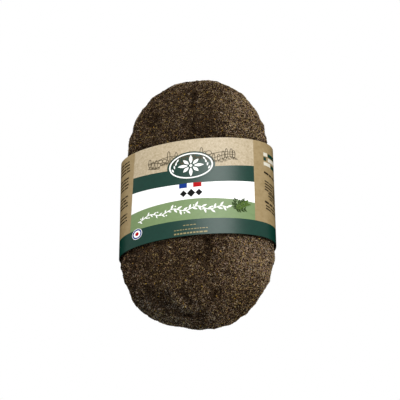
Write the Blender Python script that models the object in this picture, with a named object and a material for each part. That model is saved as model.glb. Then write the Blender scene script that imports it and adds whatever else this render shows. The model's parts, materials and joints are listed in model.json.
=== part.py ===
"""A herb-coated cheese: an oval pressed loaf rolled in dried herbs, in a printed paper sleeve.

Metres, +Z up. +Y runs along the loaf to its far end, and +X across it. The origin is on the table,
under the middle of the loaf's length and width. The paper goes under the loaf, so the loaf stands on it.
"""

import math
import random

import bmesh
import bpy
from mathutils import Matrix, Vector, noise

MM = 0.001

# The loaf, as a rounded form that is widest nearer its near end
WIDEST_Y = -27.2 * MM
HALF_WIDTH = 42.8 * MM
FAR_REACH = 106.6 * MM  # from the widest place to the far end
NEAR_REACH = 51.4 * MM  # from the widest place to the near end
CROWN = 18.8 * MM  # from the widest level up to the top
BELLY = 24.2 * MM  # from the widest level down, before the underside is pressed flat
PRESSED_OFF = 3.5 * MM  # what lying on a table has flattened, down to the table
FAR_ROUNDNESS = 3.1  # 2 is an ellipse seen from above, and more is squarer
NEAR_ROUNDNESS = 2.2
NEAR_TIP_X = 1.5 * MM  # the near end's tip is this far to the right of the middle

# The paper sleeve, a straight tube that fits the loaf at its widest place
PAPER = 0.4 * MM
CLEARANCE = 0.3 * MM  # between the loaf's skin and the inside of the paper
SLEEVE_NEAR_Y = -32.8 * MM
SLEEVE_FAR_Y = 29.0 * MM
SLEEVE_SIDES = 96

# Worked out from these
WIDEST_Z = BELLY - PRESSED_OFF
MIDDLE = Vector((0.0, WIDEST_Y, WIDEST_Z))
LOAF_FOOT_Z = PAPER + CLEARANCE

# Soft swellings and hollows left by pressing it by hand: where, how wide and how high, in millimetres
SWELLINGS = (
    ((-33.0, 54.0, 25.0), 12.0, 1.2),  # left shoulder of the far end
    ((26.0, 66.0, 27.0), 11.0, -1.0),  # right shoulder of the far end
    ((40.0, 47.0, 22.0), 10.0, 0.6),  # right flank of the far end
    ((-36.0, -56.0, 18.0), 9.0, 1.0),  # left flank of the near end
    ((36.0, -56.0, 18.0), 8.0, -0.8),  # right flank of the near end
    ((-15.0, -75.0, 19.0), 8.0, -1.8),  # beside the near end's nub, on its left
    ((24.0, -72.0, 18.0), 7.0, 0.6),  # beside it on its right
    ((0.5, -78.0, 17.0), 5.5, 0.8),  # the nub where the near end was gathered
)
# Furrows: the places they pass, their half width and their depth, in millimetres
FURROWS = (
    (((0.3, 38.0, 38.0), (0.3, 59.0, 35.0), (0.8, 74.0, 30.0), (3.5, 80.0, 20.0)), 2.8, 1.2),
    (((-16.0, -69.5, 30.0), (-2.7, -75.0, 28.7), (8.0, -77.0, 26.0)), 2.6, 1.3),
    (((-4.1, -64.5, 33.5), (-4.0, -75.5, 27.8)), 2.4, 0.9),
)

# The mesh and the relief of the herb coat
CELL = 4.3 * MM  # side of the loaf's facets
FADE = 5.0 * MM  # over which the relief dies away towards the paper and the table
LUMP_SIZE = 9.0 * MM
LUMP_HEIGHT = 1.0 * MM
CRUMB_SIZE = 4.5 * MM
CRUMB_HEIGHT = 0.7 * MM
CRUMB_OFFSET = Vector((7.0, 3.0, 5.0))  # keeps the crumbs' pattern away from the lumps'

# The largest herb needles, which are fused to the loaf
NEEDLES = 190
NEEDLE_LENGTHS = (3.4 * MM, 6.0 * MM)
NEEDLE_WIDTHS = (0.9 * MM, 1.25 * MM)
NEEDLE_SIDES = 5
NEEDLE_SPACING = 6.6 * MM
NEEDLE_SUNK = 0.35  # share of the needle's half width that its axis lies under the skin
NEEDLE_CLEAR = 1.0 * MM  # from the needle's tip to the paper's edge
LOWEST_NEEDLE_Z = 5.0 * MM
SEED = 17

HERB_BROWN = (0.045, 0.032, 0.019, 1.0)
KRAFT = (0.63, 0.55, 0.34, 1.0)


def material(name, colour, roughness):
    """A plain finish of this colour."""
    made = bpy.data.materials.new(name)
    made.use_nodes = True
    shader = made.node_tree.nodes["Principled BSDF"]
    shader.inputs["Base Color"].default_value = colour
    shader.inputs["Roughness"].default_value = roughness
    shader.inputs["Metallic"].default_value = 0.0
    return made


def new_object(name, bm, finish, collection=None):
    """An object of this name with the mesh that bm holds."""
    mesh = bpy.data.meshes.new(name)
    bm.to_mesh(mesh)
    bm.free()
    mesh.materials.append(finish)
    made = bpy.data.objects.new(name, mesh)
    (collection or bpy.context.scene.collection).objects.link(made)
    return made


def smooth_step(value):
    """0 below 0, 1 above 1, and a soft rise between."""
    value = min(max(value, 0.0), 1.0)
    return value * value * (3.0 - 2.0 * value)


def on_loaf(ray):
    """Where this ray from the loaf's middle meets its smooth form, measured from the middle."""
    if ray.y > 0:
        reach, roundness, tip_x = FAR_REACH, FAR_ROUNDNESS, 0.0
    else:
        reach, roundness, tip_x = NEAR_REACH, NEAR_ROUNDNESS, NEAR_TIP_X
    height = CROWN if ray.z > 0 else BELLY
    across = math.hypot(ray.x / HALF_WIDTH, ray.z / height)
    along = abs(ray.y / reach)
    place = ray / (across**roundness + along**roundness) ** (1 / roundness)
    place.x += tip_x * (place.y / reach) ** 2
    return place


def shown(point):
    """1 where the coat shows, fading to 0 at the paper and at the table."""
    past_paper = max(point.y - SLEEVE_FAR_Y, SLEEVE_NEAR_Y - point.y)
    over_table = point.z - LOAF_FOOT_Z
    return smooth_step(past_paper / FADE) * smooth_step(over_table / FADE)


def distance_to_line(point, line):
    """How far the point is from a line through these places."""
    found = []
    for start, end in zip(line, line[1:]):
        run = end - start
        share = min(max((point - start).dot(run) / run.length_squared, 0.0), 1.0)
        found.append((point - start - run * share).length)
    return min(found)


def hand_shaping(point):
    """The swellings, less the furrows, at this place on the loaf."""
    height = 0.0
    for place, reach, swell in SWELLINGS:
        away = (point - Vector(place) * MM).length / (reach * MM)
        height += swell * MM * math.exp(-away * away)
    for places, half_width, depth in FURROWS:
        line = [Vector(place) * MM for place in places]
        away = distance_to_line(point, line) / (half_width * MM)
        height -= depth * MM * math.exp(-away * away)
    return height


def coat_relief(point):
    """How far the coat's lumps and crumbs stand out from the loaf's skin, or lie under it."""
    lumps = noise.noise(point / LUMP_SIZE) * LUMP_HEIGHT
    crumbs = noise.noise(point / CRUMB_SIZE + CRUMB_OFFSET) * CRUMB_HEIGHT
    return lumps + crumbs


def boxed_cells():
    """A box of the loaf's size round its middle, cut into square cells."""
    bm = bmesh.new()
    bmesh.ops.create_cube(bm, size=1.0)
    low = Vector((-HALF_WIDTH, -NEAR_REACH, -BELLY))
    high = Vector((HALF_WIDTH, FAR_REACH, CROWN))
    for vert in bm.verts:
        vert.co = Vector(high[i] if vert.co[i] > 0 else low[i] for i in range(3))
    for axis in range(3):
        across = Vector(i == axis for i in range(3))
        cells = round((high[axis] - low[axis]) / CELL)
        for cut in range(1, cells):
            place = across * (low[axis] + (high[axis] - low[axis]) * cut / cells)
            everything = bm.verts[:] + bm.edges[:] + bm.faces[:]
            bmesh.ops.bisect_plane(bm, geom=everything, plane_co=place, plane_no=across)
    return bm


def loaf():
    """The bare loaf with the coat's coarse relief, flat where it lies on the paper."""
    bm = boxed_cells()
    for vert in bm.verts:
        vert.co = MIDDLE + on_loaf(vert.co)
    bm.normal_update()
    for vert in bm.verts:
        height = (hand_shaping(vert.co) + coat_relief(vert.co)) * shown(vert.co)
        vert.co += vert.normal * height
        vert.co.z = max(vert.co.z, LOAF_FOOT_Z)
    bmesh.ops.triangulate(bm, faces=bm.faces[:])
    bmesh.ops.recalc_face_normals(bm, faces=bm.faces[:])
    return bm


def needle(length, width):
    """A herb needle along X: a ring near each end and a point at both."""
    bm = bmesh.new()
    rings = []
    for x, size in ((-0.28 * length, 0.5), (0.22 * length, 0.42)):
        ring = []
        for side in range(NEEDLE_SIDES):
            turn = 2 * math.pi * side / NEEDLE_SIDES
            ring.append(bm.verts.new((x, width * size * math.cos(turn), width * size * math.sin(turn))))
        rings.append(ring)
    ends = (bm.verts.new((-length / 2, 0.0, 0.0)), bm.verts.new((length / 2, 0.0, 0.0)))
    for side in range(NEEDLE_SIDES):
        after = (side + 1) % NEEDLE_SIDES
        bm.faces.new((rings[0][side], rings[0][after], rings[1][after], rings[1][side]))
        bm.faces.new((ends[0], rings[0][after], rings[0][side]))
        bm.faces.new((ends[1], rings[1][side], rings[1][after]))
    bmesh.ops.recalc_face_normals(bm, faces=bm.faces[:])
    return bm


def needle_places(bm, draw):
    """Places on the loaf's triangles, drawn by area and kept apart: (point, normal, length) each."""
    weights = [face.calc_area() for face in bm.faces]
    places = []
    while len(places) < NEEDLES:
        face = draw.choices(bm.faces, weights)[0]
        a, b, c = (vert.co for vert in face.verts)
        u, v = sorted((draw.random(), draw.random()))
        point = a * u + b * (v - u) + c * (1 - v)
        length = draw.uniform(*NEEDLE_LENGTHS)
        past_paper = max(point.y - SLEEVE_FAR_Y, SLEEVE_NEAR_Y - point.y)
        if point.z < LOWEST_NEEDLE_Z or past_paper < length / 2 + NEEDLE_CLEAR:
            continue
        if all((point - other[0]).length > NEEDLE_SPACING for other in places):
            places.append((point, face.normal.copy(), length))
    return places


def fused_needles(body, bm, finish):
    """Lays the needles on the loaf and makes one solid of them all."""
    draw = random.Random(SEED)
    needles = bpy.data.collections.new("needles")
    bpy.context.scene.collection.children.link(needles)
    for number, (point, normal, length) in enumerate(needle_places(bm, draw)):
        width = draw.uniform(*NEEDLE_WIDTHS)
        turned = Matrix.Rotation(draw.uniform(0.0, math.pi), 4, normal)
        lying = turned @ normal.to_track_quat("Z", "Y").to_matrix().to_4x4()
        made = new_object(f"needle_{number}", needle(length, width), finish, needles)
        made.matrix_world = Matrix.Translation(point - normal * width / 2 * NEEDLE_SUNK) @ lying
    union = body.modifiers.new("needles", "BOOLEAN")
    union.operation = "UNION"
    union.operand_type = "COLLECTION"
    union.collection = needles
    union.solver = "EXACT"
    bpy.context.view_layer.objects.active = body
    bpy.ops.object.modifier_apply(modifier=union.name)
    for used in list(needles.objects):
        bpy.data.objects.remove(used, do_unlink=True)
    bpy.data.collections.remove(needles)


def cheese():
    """The coated loaf, one solid with its largest herb needles."""
    coat = material("herb_coat", HERB_BROWN, 0.9)
    bm = loaf()
    body = new_object("cheese", bm.copy(), coat)
    fused_needles(body, bm, coat)
    bm.free()
    return body


def sleeve_wall(bm, spread, foot_z):
    """One wall of the sleeve, this far out from the loaf's skin: its two rims as loops of points."""
    rims = []
    for y in (SLEEVE_NEAR_Y, SLEEVE_FAR_Y):
        rim = []
        for side in range(SLEEVE_SIDES):
            turn = 2 * math.pi * side / SLEEVE_SIDES
            height = (CROWN if math.sin(turn) > 0 else BELLY) + spread
            x = (HALF_WIDTH + spread) * math.cos(turn)
            z = WIDEST_Z + height * math.sin(turn)
            rim.append(bm.verts.new((x, y, max(z, foot_z))))
        rims.append(rim)
    return rims


def paper_sleeve():
    """A tube of paper round the loaf, flat underneath."""
    bm = bmesh.new()
    inside = sleeve_wall(bm, CLEARANCE, PAPER)
    outside = sleeve_wall(bm, CLEARANCE + PAPER, 0.0)
    for side in range(SLEEVE_SIDES):
        after = (side + 1) % SLEEVE_SIDES
        for one, other in (inside, outside, (inside[0], outside[0]), (inside[1], outside[1])):
            bm.faces.new((one[side], one[after], other[after], other[side]))
    bmesh.ops.recalc_face_normals(bm, faces=bm.faces[:])
    return new_object("paper_band", bm, material("kraft_paper", KRAFT, 0.55))


def main():
    for existing in list(bpy.data.objects):
        bpy.data.objects.remove(existing, do_unlink=True)
    bpy.context.scene.unit_settings.system = "METRIC"
    for made in (cheese(), paper_sleeve()):
        bpy.context.view_layer.objects.active = made
        made.data.shade_smooth()
        made.data.set_sharp_from_angle(angle=math.radians(40))


main()
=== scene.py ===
# %% [markdown]
# # Dressing a herb-coated cheese
#
# The object is an oval loaf, pressed by hand, rolled in dried herbs and held round its middle by a
# printed sleeve of kraft card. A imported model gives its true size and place: one solid for the loaf
# and one for the sleeve. Here both get their looks: a coat of about 150,000 flakes, all of them mesh,
# and a card that is printed flat and then wrapped round the loaf, as on the real pack.

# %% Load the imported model
import json
import math

import bpy
import numpy as np
from mathutils import Euler, Matrix, Vector, noise

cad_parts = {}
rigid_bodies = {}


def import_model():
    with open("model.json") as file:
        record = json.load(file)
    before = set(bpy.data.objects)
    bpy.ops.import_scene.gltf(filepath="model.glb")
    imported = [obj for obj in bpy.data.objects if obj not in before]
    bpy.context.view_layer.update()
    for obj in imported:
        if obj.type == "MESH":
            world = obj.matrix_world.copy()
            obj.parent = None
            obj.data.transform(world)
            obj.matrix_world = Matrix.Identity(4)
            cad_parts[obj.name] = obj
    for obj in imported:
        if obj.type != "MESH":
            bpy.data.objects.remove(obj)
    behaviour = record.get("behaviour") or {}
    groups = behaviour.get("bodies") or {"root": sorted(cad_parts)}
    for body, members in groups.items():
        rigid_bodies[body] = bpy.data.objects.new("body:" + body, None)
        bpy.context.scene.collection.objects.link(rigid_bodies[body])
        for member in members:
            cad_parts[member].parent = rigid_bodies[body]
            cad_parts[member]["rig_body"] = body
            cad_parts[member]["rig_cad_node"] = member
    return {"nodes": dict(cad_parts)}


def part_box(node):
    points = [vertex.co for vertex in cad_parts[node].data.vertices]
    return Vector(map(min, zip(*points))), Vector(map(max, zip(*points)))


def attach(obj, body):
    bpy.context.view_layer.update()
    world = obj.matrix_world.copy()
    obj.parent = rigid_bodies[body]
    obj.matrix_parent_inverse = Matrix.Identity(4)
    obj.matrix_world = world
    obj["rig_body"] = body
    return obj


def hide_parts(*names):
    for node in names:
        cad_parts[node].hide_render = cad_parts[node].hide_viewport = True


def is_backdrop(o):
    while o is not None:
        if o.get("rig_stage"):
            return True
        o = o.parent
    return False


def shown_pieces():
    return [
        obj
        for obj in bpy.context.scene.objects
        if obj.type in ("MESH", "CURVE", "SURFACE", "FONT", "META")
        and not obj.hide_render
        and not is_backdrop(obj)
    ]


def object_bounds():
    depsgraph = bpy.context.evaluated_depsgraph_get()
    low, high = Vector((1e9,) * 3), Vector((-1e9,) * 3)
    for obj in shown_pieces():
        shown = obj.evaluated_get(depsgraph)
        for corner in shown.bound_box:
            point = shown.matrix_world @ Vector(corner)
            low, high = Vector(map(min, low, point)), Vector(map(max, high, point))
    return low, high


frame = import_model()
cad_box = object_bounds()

MM = 0.001
loaf_low, loaf_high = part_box("cheese")
band_low, band_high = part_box("paper_band")
print("loaf", [round(side / MM, 1) for side in loaf_high - loaf_low], "mm")
print("sleeve", [round(side / MM, 1) for side in band_high - band_low], "mm")

# %% [markdown]
# ## The camera
#
# The picture looks down at the loaf from its near end, a little from the right, and the camera is
# turned about its own axis. A long lens keeps the two ends almost alike in scale, as in a product
# photograph. Azimuth 0 looks along +Y, so the three angles below are all that the view needs.

# %% Place the camera
AIM = Vector((1.9, 0.4, 21.7)) * MM
DISTANCE = 890.6 * MM
AZIMUTH = math.radians(14.8)
ELEVATION = math.radians(57.0)
ROLL = math.radians(17.9)
LENS = 144.0

towards_camera = Vector((
    math.sin(AZIMUTH) * math.cos(ELEVATION),
    -math.cos(AZIMUTH) * math.cos(ELEVATION),
    math.sin(ELEVATION),
))
upright = (-towards_camera).to_track_quat("-Z", "Y").to_matrix()
rolled = (upright @ Matrix.Rotation(-ROLL, 3, "Z")).to_euler()
bpy.ops.object.camera_add(location=AIM + towards_camera * DISTANCE, rotation=rolled)
camera = bpy.context.object
camera.data.lens = LENS
bpy.context.scene.camera = camera
print("camera", [round(place / MM) for place in camera.location], "mm from the loaf's foot")

# %% [markdown]
# ## Floor and light
#
# The loaf is shown on plain white without a shadow, as packshots are cut out. So the table glows white
# for the camera, but throws no light on the loaf, and the room is bright above and dark below. One soft
# box behind the loaf is mirrored as a soft gleam in the satin print, and a weaker one at the front right
# shapes the coat. The picture is shown with the Standard view transform, because it leaves printed
# colours as they are.

# %% Build the floor and the lights
FLOOR_SIZE = 4.0
FLOOR_GAP = 0.2 * MM  # keeps the floor's face apart from the sleeve's
LIGHT_DISTANCE = 1.0
LIGHT_SIZE = 0.4


def soft_box(name, direction, watts):
    """A square white area light in this direction from the loaf, aimed at it."""
    direction = Vector(direction).normalized()
    turn = direction.to_track_quat("Z", "Y").to_euler()
    bpy.ops.object.light_add(type="AREA", location=AIM + direction * LIGHT_DISTANCE, rotation=turn)
    light = bpy.context.object
    light.name = name
    light.data.shape = "SQUARE"
    light.data.size = LIGHT_SIZE
    light.data.energy = watts


bpy.ops.mesh.primitive_plane_add(size=FLOOR_SIZE, location=(0, 0, -FLOOR_GAP))
floor = bpy.context.object
floor.name = "floor"
floor.visible_diffuse = False
floor.visible_glossy = False
floor.visible_shadow = False
floor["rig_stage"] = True

soft_box("gleam_light", (0.14, 0.53, 0.8), watts=6.4)
soft_box("front_light", (0.6, -0.7, 0.4), watts=2.8)
bpy.context.scene.view_settings.view_transform = "Standard"

# %% [markdown]
# ## Tools for materials
#
# Every material below is a few shader nodes round one Principled shader. Colours are written as the
# sRGB hex values that a paint program shows, and one function turns them to the linear values that
# the shader wants. Another adds a node, sets its properties and joins its inputs, and two more start a
# material and fill a colour ramp.

# %% Helpers for materials
def linear(hex_colour):
    """Linear RGBA of an sRGB colour such as "8A7B5C", by the sRGB standard's curve."""
    found = []
    for start in (0, 2, 4):
        share = int(hex_colour[start : start + 2], 16) / 255
        found.append(share / 12.92 if share <= 0.04045 else ((share + 0.055) / 1.055) ** 2.4)
    return (*found, 1.0)


def add_node(material, kind, inputs, **properties):
    """Adds a node: each input gets a value, or is joined to another node's output."""
    node = material.node_tree.nodes.new(kind)
    for name, value in properties.items():
        setattr(node, name, value)
    for socket, value in inputs.items():
        if isinstance(value, bpy.types.NodeSocket):
            material.node_tree.links.new(value, node.inputs[socket])
        else:
            node.inputs[socket].default_value = value
    return node


def new_material(name, roughness, specular):
    """A material of this name and its Principled shader."""
    material = bpy.data.materials.new(name)
    material.use_nodes = True
    shader = material.node_tree.nodes["Principled BSDF"]
    shader.inputs["Roughness"].default_value = roughness
    shader.inputs["Specular IOR Level"].default_value = specular
    return material, shader


def set_ramp(node, stops):
    """Gives a Color Ramp node these stops, each a place from 0 to 1 and a hex colour."""
    ramp = node.color_ramp
    while len(ramp.elements) < len(stops):
        ramp.elements.new(1.0)
    for element, (place, colour) in zip(ramp.elements, stops):
        element.position = place
        element.color = linear(colour)


print("hex 8A7B5C is", [round(value, 3) for value in linear("8A7B5C")])

# %% [markdown]
# ## The room and the glowing table
#
# A packshot table is a sheet of opal acrylic lit from below, which shows evenly white. So the floor has
# a material that only glows. The room could be built from white walls, but a world is simpler and
# smoother: it is white above the table's level and black below it, so the loaf's lower sides fall into
# shade as they do on a real table.

# %% Fill the room and light the table
TABLE_GLOW = 1.0
SURROUNDING = 0.79


def room(brightness):
    """A world that is white above the table's level and black below it."""
    world = bpy.data.worlds.new("white_room")
    world.use_nodes = True
    directions = add_node(world, "ShaderNodeTexCoord", {})
    height = add_node(world, "ShaderNodeSeparateXYZ", {"Vector": directions.outputs["Generated"]})
    above = add_node(world, "ShaderNodeMath", {0: height.outputs["Z"], 1: 0.0}, operation="GREATER_THAN")
    light = add_node(world, "ShaderNodeMath", {0: above.outputs[0], 1: brightness}, operation="MULTIPLY")
    background = world.node_tree.nodes["Background"]
    background.inputs["Color"].default_value = linear("FFFFFF")
    world.node_tree.links.new(light.outputs[0], background.inputs["Strength"])
    return world


bpy.context.scene.world = room(SURROUNDING)
# Opal acrylic with a sanded face, lit from below: evenly white, without a gleam
light_table, table_shader = new_material("light_table", roughness=0.9, specular=0.0)
table_shader.inputs["Base Color"].default_value = linear("000000")
table_shader.inputs["Emission Color"].default_value = linear("FFFFFF")
table_shader.inputs["Emission Strength"].default_value = TABLE_GLOW
floor.data.materials.append(light_table)
print("the room is", SURROUNDING, "as bright as the table")

# %% [markdown]
# ## The loaf under its coat
#
# The loaf could be modelled again from a sphere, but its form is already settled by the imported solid.
# So a copy of that solid is welded, remeshed into even small cells and smoothed, which takes away the
# facets and keeps the form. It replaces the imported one.

# %% Copy the loaf and remesh it finely
CELL = 0.85 * MM
WELD_REACH = 0.01 * MM
SMOOTHING_TURNS = 12


def only(obj):
    """Selects this object alone and makes it the active one."""
    bpy.ops.object.select_all(action="DESELECT")
    obj.hide_set(False)
    obj.select_set(True)
    bpy.context.view_layer.objects.active = obj


def apply_modifier(obj, kind, **settings):
    """Adds a modifier with these settings and applies it."""
    only(obj)
    modifier = obj.modifiers.new(kind.lower(), kind)
    for name, value in settings.items():
        setattr(modifier, name, value)
    bpy.ops.object.modifier_apply(modifier=modifier.name)


loaf = frame["nodes"]["cheese"].copy()
loaf.data = loaf.data.copy()
loaf.name = "bare_loaf"
loaf.parent = None
for leftover in ("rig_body", "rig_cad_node"):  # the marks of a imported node, which the copy is not
    del loaf[leftover]
bpy.context.scene.collection.objects.link(loaf)
loaf.data.materials.clear()
apply_modifier(loaf, "WELD", merge_threshold=WELD_REACH)
apply_modifier(loaf, "REMESH", mode="VOXEL", voxel_size=CELL, adaptivity=0.0)
apply_modifier(loaf, "SMOOTH", factor=0.5, iterations=SMOOTHING_TURNS)
print("bare loaf", len(loaf.data.vertices), "points")

# %% [markdown]
# ## Where the coat shows
#
# The sleeve hides the middle of the loaf and squeezes it a little at both rims. So the relief fades away
# towards the card and the table, and a shallow groove runs along each rim, which the coat swells out
# of. A brush would do it by hand. Here numpy moves every point by its distance past the rim, because
# that follows the card's edge exactly.
#
# The loaf was also folded and gathered by hand. A furrow runs along the top at the far end, and short
# creases meet at the tip of the near end. Each is a line seen from above with a width and a depth, and a
# little wander keeps it from looking ruled. A line with a depth below 0 makes a soft swell.

# %% Name the grooves and the creases
RELIEF_FADE = 3.0 * MM
COAT = 0.35 * MM  # how far the flakes stand out from the bare loaf, so it is that much smaller
FAR_GROOVE = 1.4 * MM
NEAR_GROOVE = 0.7 * MM
GROOVE_WIDTH = 2.8 * MM
ASKEW = 0.019  # the sleeve sits a little askew: so much further along for each millimetre across
# Creases where the loaf was folded and gathered, and swells below 0: places passed seen from above,
# half width and depth, all in mm
CREASES = (
    (((0.6, 26), (0.6, 52), (0.3, 66)), 1.4, 1.6),
    (((0.3, 66), (0.4, 74)), 1.4, 0.8),
    (((8.7, -28), (9.2, -40.7), (8.5, -44.8), (7.8, -49)), 2.4, 1.3),
    (((8.5, -28), (9, -37)), 2.8, 1.5),
    (((-20, -67.5), (-11.6, -71), (-3.7, -74.2)), 1.2, 2.6),
    (((-3.7, -74.2), (2, -75.6)), 1.4, 1.6),
    (((-27, -58), (-24.7, -61.3), (-20.4, -65.6)), 1.8, 1.5),
    (((-21, -61), (-15.3, -64.5), (-11.7, -68.5)), 3.0, 0.7),
    (((-6.5, -62.5), (-4.4, -65.8), (-1.9, -68.4)), 1.3, 1.8),
    (((-1.9, -68.4), (1.5, -73)), 1.5, 0.8),
    (((13.3, -64), (9.9, -67.9), (6.5, -71.8), (4.5, -74.1)), 1.8, 1.3),
    (((-14.8, -57.5), (-10.6, -63.6), (-6.9, -68.8), (-3, -72.3)), 2.0, -0.8),
    (((-24, 50), (-25, 53)), 6.0, 1.2),
    (((-42, -30), (-42, -37)), 6.0, -1.0),
    (((-10, 80), (10, 80)), 6.0, -0.8),
    (((-38, 44), (-33, 52), (-26, 60)), 5.0, -0.6),
    (((33, 54), (23, 67)), 5.0, -0.7),
    (((40, -43), (38, -50), (35, -58)), 6.0, -0.8),
    (((29, -69.5), (25, -72)), 3.5, 0.9),
    (((5, -79.5), (-11, -77)), 4.5, 1.0),
    (((-22, -70), (-28, -66)), 4.0, -0.4),
)
CREASED_FROM = 8.0 * MM  # the creases are on the loaf's upper side
# How a crease strays to the side: how far, over what length and from which phase, in mm
WANDERS = ((0.5, 2.9, 0.0), (0.3, 1.3, 1.0))
UNEVENNESS = 0.3  # the share of its depth that a crease gains and loses along its way
UNEVEN_LENGTH = 3.1  # in mm
print(len(CREASES), "creases and swells")


# %% Measure how deep the loaf is pressed
def smooth_step(value):
    """0 below 0, 1 above 1, and a soft rise between."""
    value = np.clip(value, 0.0, 1.0)
    return value * value * (3.0 - 2.0 * value)


def past_rim(points):
    """How far each point lies beyond the nearer rim of the sleeve, and below 0 under the card."""
    along = points[:, 1] - ASKEW * points[:, 0]
    return np.maximum(along - band_high.y, band_low.y - along)


def distance_to_line(points, line):
    """How far each point is from a line through these places, seen from above."""
    nearest = np.full(len(points), np.inf)
    for start, end in zip(line, line[1:]):
        run = end - start
        share = np.clip((points - start) @ run / (run @ run), 0.0, 1.0)
        nearest = np.minimum(nearest, np.linalg.norm(points - start - share[:, None] * run, axis=1))
    return nearest


def creased(points):
    """How deep the creases go at each point. They wander a little and are uneven in depth."""
    seen = points[:, :2] / MM
    wander = sum(stray * np.sin(seen[:, ::-1] / length + phase) for stray, length, phase in WANDERS)
    uneven = 1.0 + UNEVENNESS * np.sin(seen.sum(axis=1) / UNEVEN_LENGTH)
    depths = np.zeros(len(points))
    for places, half_width, depth in CREASES:
        away = distance_to_line(seen + wander, np.array(places)) / half_width
        depths += depth * MM * np.exp(-(away**2))
    return depths * uneven * smooth_step((points[:, 2] - CREASED_FROM) / CREASED_FROM)


on_furrow = np.array([[0.6 * MM, 52 * MM, loaf_high.z]])
print("the far furrow is", round(creased(on_furrow)[0] / MM, 2), "mm deep")


# %% Press the rims' grooves and the creases into the loaf
def points_of(mesh):
    """The places of a mesh's points as an array."""
    found = np.empty(len(mesh.vertices) * 3, np.float32)
    mesh.vertices.foreach_get("co", found)
    return found.reshape(-1, 3).astype(float)


def normals_of(mesh):
    """The directions in which a mesh's points face, as an array."""
    found = np.empty(len(mesh.vertices) * 3, np.float32)
    mesh.vertex_normals.foreach_get("vector", found)
    return found.reshape(-1, 3).astype(float)


def set_points(mesh, points):
    """Moves a mesh's points to these places."""
    mesh.vertices.foreach_set("co", points.astype(np.float32).ravel())
    mesh.update()


points = points_of(loaf.data)
beyond = past_rim(points)
off_card = smooth_step(beyond / RELIEF_FADE)
off_table = smooth_step((points[:, 2] - loaf_low.z) / RELIEF_FADE)
shown = off_card * off_table
pressed = np.exp(-((beyond / GROOVE_WIDTH) ** 2)) * (beyond > -GROOVE_WIDTH)
pressed *= np.where(points[:, 1] > 0, FAR_GROOVE, NEAR_GROOVE)
pressed *= off_table
pressed += COAT * off_card
pressed += creased(points) * shown
set_points(loaf.data, points - normals_of(loaf.data) * pressed[:, None])
print("deepest press", round(pressed.max() / MM, 2), "mm")

# %% [markdown]
# ## The crumb between the flakes
#
# Between the flakes a fine herb crumb sticks to the loaf. It is real relief, made by three Displace
# modifiers that read cloud textures: swells as wide as a fingertip, lumps as wide as a pea, and a grain
# as coarse as semolina. A vertex group holds them back near the card and the table.

# %% Raise the crumb
RELIEF_GROUP = "relief"  # kept as a name, because applying a modifier renews the groups themselves
RELIEF_STEPS = 10
# Each relief's name, width and height in mm
RELIEFS = (("swells", 13.0, 1.5), ("lumps", 4.0, 0.9), ("grain", 1.8, 0.6))

coat_group = loaf.vertex_groups.new(name=RELIEF_GROUP)
for step in range(RELIEF_STEPS + 1):
    members = np.flatnonzero(np.round(shown * RELIEF_STEPS) == step)
    coat_group.add(members.tolist(), step / RELIEF_STEPS, "REPLACE")
for title, width, height in RELIEFS:
    clouds = bpy.data.textures.new(title, "CLOUDS")
    clouds.noise_scale = width * MM
    clouds.noise_depth = 1
    apply_modifier(
        loaf, "DISPLACE", texture=clouds, texture_coords="LOCAL", strength=height * MM,
        mid_level=0.5, vertex_group=RELIEF_GROUP,
    )
only(loaf)
bpy.ops.object.shade_smooth()
print("crumb raised on", int((shown > 0).sum()), "of", len(shown), "points")

# %% [markdown]
# ## The crumb's colour
#
# Ground herbs lie in the shade between the flakes, and each grain has a colour of its own. A Voronoi
# texture draws cells as wide as a grain and gives each cell chance numbers: one picks a place on two
# colour ramps, a brown and a greyer one, and another mixes the two. The crumb is matt, since dust and
# broken leaf scatter light.

# %% Material: ground herbs
BROWN_DUST_COLOURS = ("080200", "140903", "26180C", "423020", "705B42")
GREY_DUST_COLOURS = ("070301", "120A04", "221910", "3C3227", "675D4E")
DUST_GRAIN = 0.42 * MM  # ground herbs are finer, but a finer grain would not show in the picture
DUST_RELIEF = 0.25 * MM
DUST_ROUGHNESS = 0.95
HERB_SPECULAR = 0.03  # the oils have dried, so a leaf hardly gleams


def even_stops(colours):
    """Stops for a Color Ramp, with these colours evenly spaced."""
    return [(place / (len(colours) - 1), colour) for place, colour in enumerate(colours)]


def ground_herbs():
    """Rubbed and sieved herb dust, pressed on the loaf: matt, each grain with a colour of its own."""
    material, shader = new_material("ground_herbs", DUST_ROUGHNESS, HERB_SPECULAR)
    coordinates = add_node(material, "ShaderNodeTexCoord", {})
    grains = add_node(
        material, "ShaderNodeTexVoronoi",
        {"Vector": coordinates.outputs["Object"], "Scale": 1 / DUST_GRAIN},
    )
    grain = add_node(material, "ShaderNodeSeparateColor", {"Color": grains.outputs["Color"]})
    browns = add_node(material, "ShaderNodeValToRGB", {"Fac": grain.outputs["Red"]})
    set_ramp(browns, even_stops(BROWN_DUST_COLOURS))
    greys = add_node(material, "ShaderNodeValToRGB", {"Fac": grain.outputs["Red"]})
    set_ramp(greys, even_stops(GREY_DUST_COLOURS))
    mix = add_node(
        material, "ShaderNodeMix",
        {"Factor": grain.outputs["Green"], "A": browns.outputs["Color"], "B": greys.outputs["Color"]},
        data_type="RGBA",
    )
    material.node_tree.links.new(mix.outputs["Result"], shader.inputs["Base Color"])
    relief = add_node(
        material, "ShaderNodeBump",
        {"Height": grains.outputs["Distance"], "Distance": DUST_RELIEF, "Strength": 1.0}, invert=True,
    )
    material.node_tree.links.new(relief.outputs["Normal"], shader.inputs["Normal"])
    return material


loaf.data.materials.append(ground_herbs())
loaf.name = "loaf_in_herb_crumb"
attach(loaf, "root")
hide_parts("cheese")
print(loaf.name, "stands for the packed loaf")

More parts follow.
